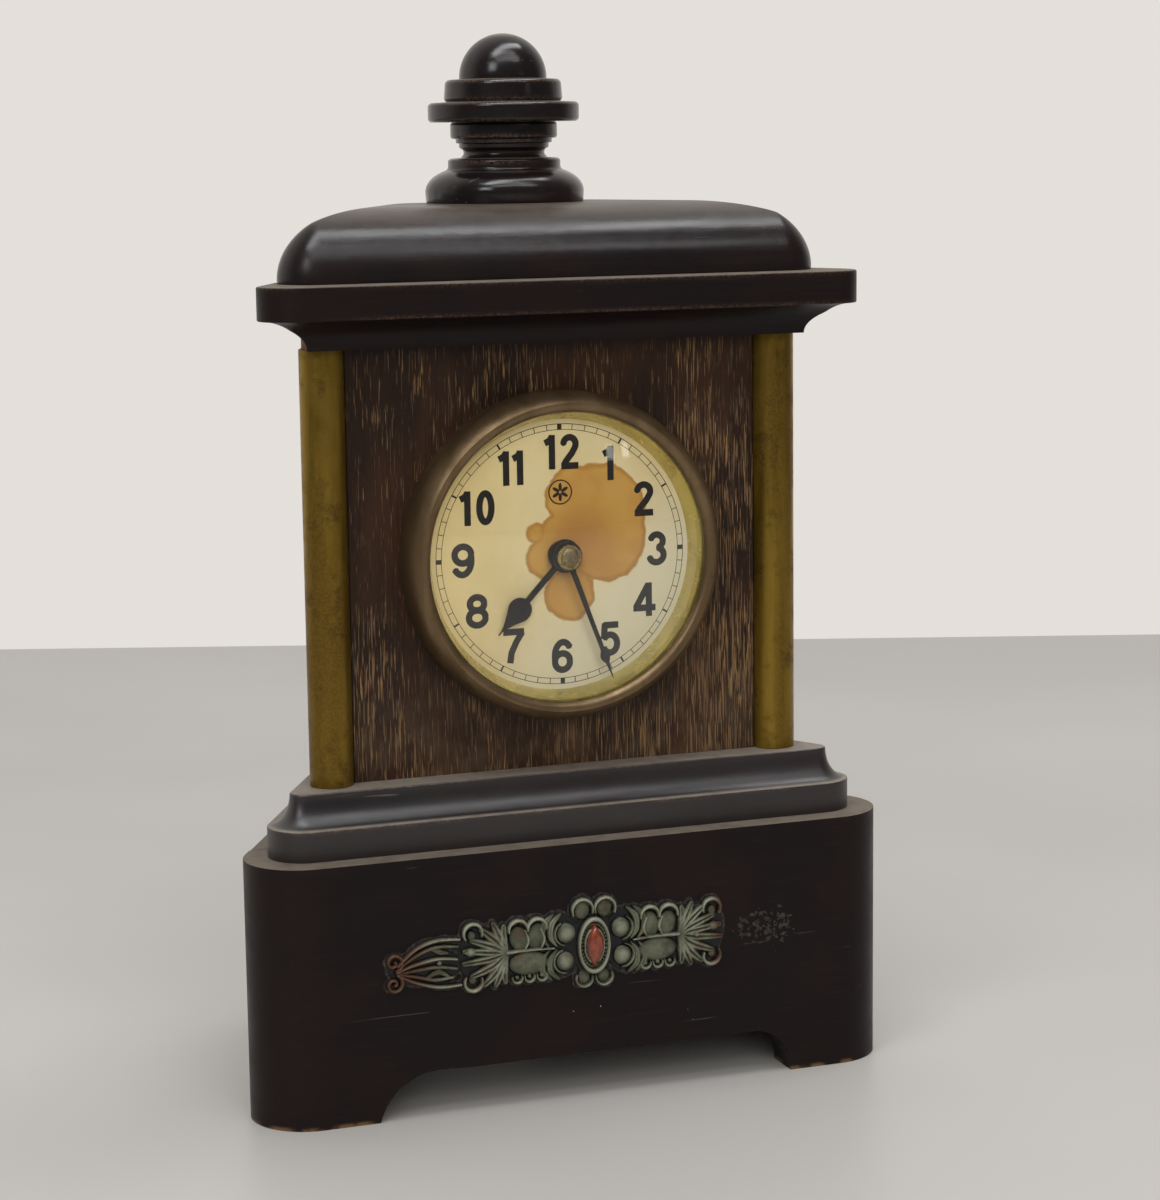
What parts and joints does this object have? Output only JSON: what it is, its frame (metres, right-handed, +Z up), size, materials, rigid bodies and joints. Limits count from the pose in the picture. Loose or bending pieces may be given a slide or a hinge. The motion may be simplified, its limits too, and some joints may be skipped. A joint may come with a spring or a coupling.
{
  "type": "shelf clock",
  "caption": "Wooden shelf clock with brass columns, round bezel, turned finial, opening back door and a spring movement with turning hands.",
  "frame": {"origin": "on the resting surface, under the centre of the clock's box", "axes": "+Z up, the dial faces -Y, +X to the right seen from the front"},
  "size_m": [0.16, 0.0952, 0.2529],
  "materials": {
    "ebonised_wood": "satin ebonised hardwood, dusty and worn on its edges",
    "panel_wood": "open-grain dark wood with pale filled pores",
    "inner_wood": "plain unfinished softwood",
    "aged_brass": "aged brass, dull and mottled",
    "bright_brass": "polished brass",
    "bezel_brass": "brown antique brass",
    "dial_paper": "cream paper on a thin plate, stained",
    "glass": "clear domed glass",
    "dark_steel": "blued or blackened steel",
    "steel": "plain steel",
    "drum_steel": "nickelled sheet steel",
    "movement_brass": "machined brass",
    "ornament_metal": "stamped metal with verdigris",
    "cabochon": "orange-red moulded stone"
  },
  "bodies": {
    "case": {"base_front_board": "ebonised_wood", "base_side_left": "ebonised_wood", "base_side_right": "ebonised_wood", "base_back_rail": "ebonised_wood", "base_top_board": "inner_wood", "glue_blocks": "inner_wood", "case_screws": "steel", "step_moulding": "ebonised_wood", "cornice": "ebonised_wood", "dome_cap": "ebonised_wood", "finial": "ebonised_wood", "column_left": "aged_brass", "column_right": "aged_brass", "column_dowels": "inner_wood", "front_panel": "panel_wood", "side_panel_left": "ebonised_wood", "side_panel_right": "ebonised_wood", "ornament_mount": "ornament_metal", "ornament_cabochon": "cabochon", "ornament_pins": "steel", "back_frame": "ebonised_wood", "hinge_frame_leaves": "aged_brass", "hinge_pins": "steel", "bezel": "bezel_brass", "sight_ring": "bright_brass", "dial_glass": "glass", "dial": "dial_paper", "drum_case": "drum_steel", "drum_back_cover": "drum_steel", "drum_brackets": "steel", "front_plate": "movement_brass", "back_plate": "movement_brass", "plate_pillars": "movement_brass", "pillar_nuts": "movement_brass", "mainspring": "dark_steel", "hairspring": "dark_steel"},
    "door": {"back_door": "ebonised_wood", "hinge_door_leaves": "aged_brass"},
    "turn_button": {"door_turn_button": "aged_brass"},
    "great_wheel": {"great_wheel": "movement_brass", "click_spring": "steel"},
    "click": {"click": "steel"},
    "winding_arbor": {"winding_arbor": "steel", "winding_key": "bright_brass"},
    "centre_wheel": {"centre_wheel": "movement_brass"},
    "minute_arbor": {"centre_arbor": "steel", "friction_washer": "movement_brass", "cannon_pinion": "steel", "hand_setting_knob": "bright_brass", "minute_hand": "dark_steel", "centre_cap": "aged_brass"},
    "third_wheel": {"third_wheel": "movement_brass"},
    "fourth_wheel": {"fourth_wheel": "movement_brass"},
    "escape_wheel": {"escape_wheel": "movement_brass"},
    "pallet_lever": {"pallet_lever": "steel"},
    "balance": {"balance_wheel": "movement_brass"},
    "regulator": {"regulator_lever": "steel"},
    "minute_wheel": {"minute_wheel": "movement_brass"},
    "hour_wheel": {"hour_wheel": "movement_brass", "hour_hand": "dark_steel"}
  },
  "joints": [
    {"name": "hand_setting", "type": "hinge", "parent": "case", "child": "minute_arbor", "pos_m": [0, -0.0044, 0.1294], "axis": [0, 1, 0], "continuous": true},
    {"name": "minute_wheel_turn", "type": "hinge", "parent": "case", "child": "minute_wheel", "pos_m": [0.0042, -0.0244, 0.12213], "axis": [0, 1, 0], "continuous": true},
    {"name": "hour_hand_turn", "type": "hinge", "parent": "case", "child": "hour_wheel", "pos_m": [0, -0.0284, 0.1294], "axis": [0, 1, 0], "continuous": true},
    {"name": "fourth_wheel_turn", "type": "hinge", "parent": "case", "child": "fourth_wheel", "pos_m": [-0.00529, -0.0124, 0.14792], "axis": [0, 1, 0], "continuous": true},
    {"name": "third_wheel_turn", "type": "hinge", "parent": "case", "child": "third_wheel", "pos_m": [-0.01403, -0.0124, 0.1375], "axis": [0, 1, 0], "continuous": true},
    {"name": "centre_wheel_turn", "type": "hinge", "parent": "case", "child": "centre_wheel", "pos_m": [0, -0.0164, 0.1294], "axis": [0, 1, 0], "continuous": true},
    {"name": "great_wheel_turn", "type": "hinge", "parent": "case", "child": "great_wheel", "pos_m": [-0.01273, -0.0144, 0.11667], "axis": [0, 1, 0], "continuous": true},
    {"name": "escape_wheel_turn", "type": "hinge", "parent": "case", "child": "escape_wheel", "pos_m": [0.00677, -0.0124, 0.14579], "axis": [0, 1, 0], "continuous": true},
    {"name": "winding", "type": "hinge", "parent": "great_wheel", "child": "winding_arbor", "pos_m": [-0.01273, 0.0006, 0.11667], "axis": [0, 1, 0], "continuous": true},
    {"name": "click_lift", "type": "hinge", "parent": "great_wheel", "child": "click", "pos_m": [-0.00483, -0.0129, 0.11954], "axis": [0, -1, 0], "range_deg": [0, 12], "deforming": ["click_spring"]},
    {"name": "pallet_rock", "type": "hinge", "parent": "case", "child": "pallet_lever", "pos_m": [0.01499, -0.0124, 0.1428], "axis": [0, 1, 0], "range_deg": [-5, 5]},
    {"name": "balance_swing", "type": "hinge", "parent": "case", "child": "balance", "pos_m": [0.02135, -0.0124, 0.13644], "axis": [0, 1, 0], "range_deg": [-150, 150], "stiffness_Nm_per_rad": 0.0000074, "deforming": ["hairspring"]},
    {"name": "regulator_turn", "type": "hinge", "parent": "case", "child": "regulator", "pos_m": [0.02135, -0.0039, 0.13644], "axis": [0, 1, 0], "range_deg": [-20, 20]},
    {"name": "back_door_hinge", "type": "hinge", "parent": "case", "child": "door", "pos_m": [-0.02285, 0.037, 0.129], "axis": [0, 0, 1], "range_deg": [0, 105]},
    {"name": "turn_button_turn", "type": "hinge", "parent": "door", "child": "turn_button", "pos_m": [0.0187, 0.0356, 0.129], "axis": [0, 1, 0], "range_deg": [-90, 90]}
  ],
  "couplings": [
    {"joint": "minute_wheel_turn", "follows": "hand_setting", "ratio": -0.33333},
    {"joint": "hour_hand_turn", "follows": "hand_setting", "ratio": 0.083333},
    {"joint": "third_wheel_turn", "follows": "fourth_wheel_turn", "ratio": -0.13333},
    {"joint": "centre_wheel_turn", "follows": "fourth_wheel_turn", "ratio": 0.016667},
    {"joint": "great_wheel_turn", "follows": "fourth_wheel_turn", "ratio": -0.0033333},
    {"joint": "escape_wheel_turn", "follows": "fourth_wheel_turn", "ratio": -8}
  ]
}
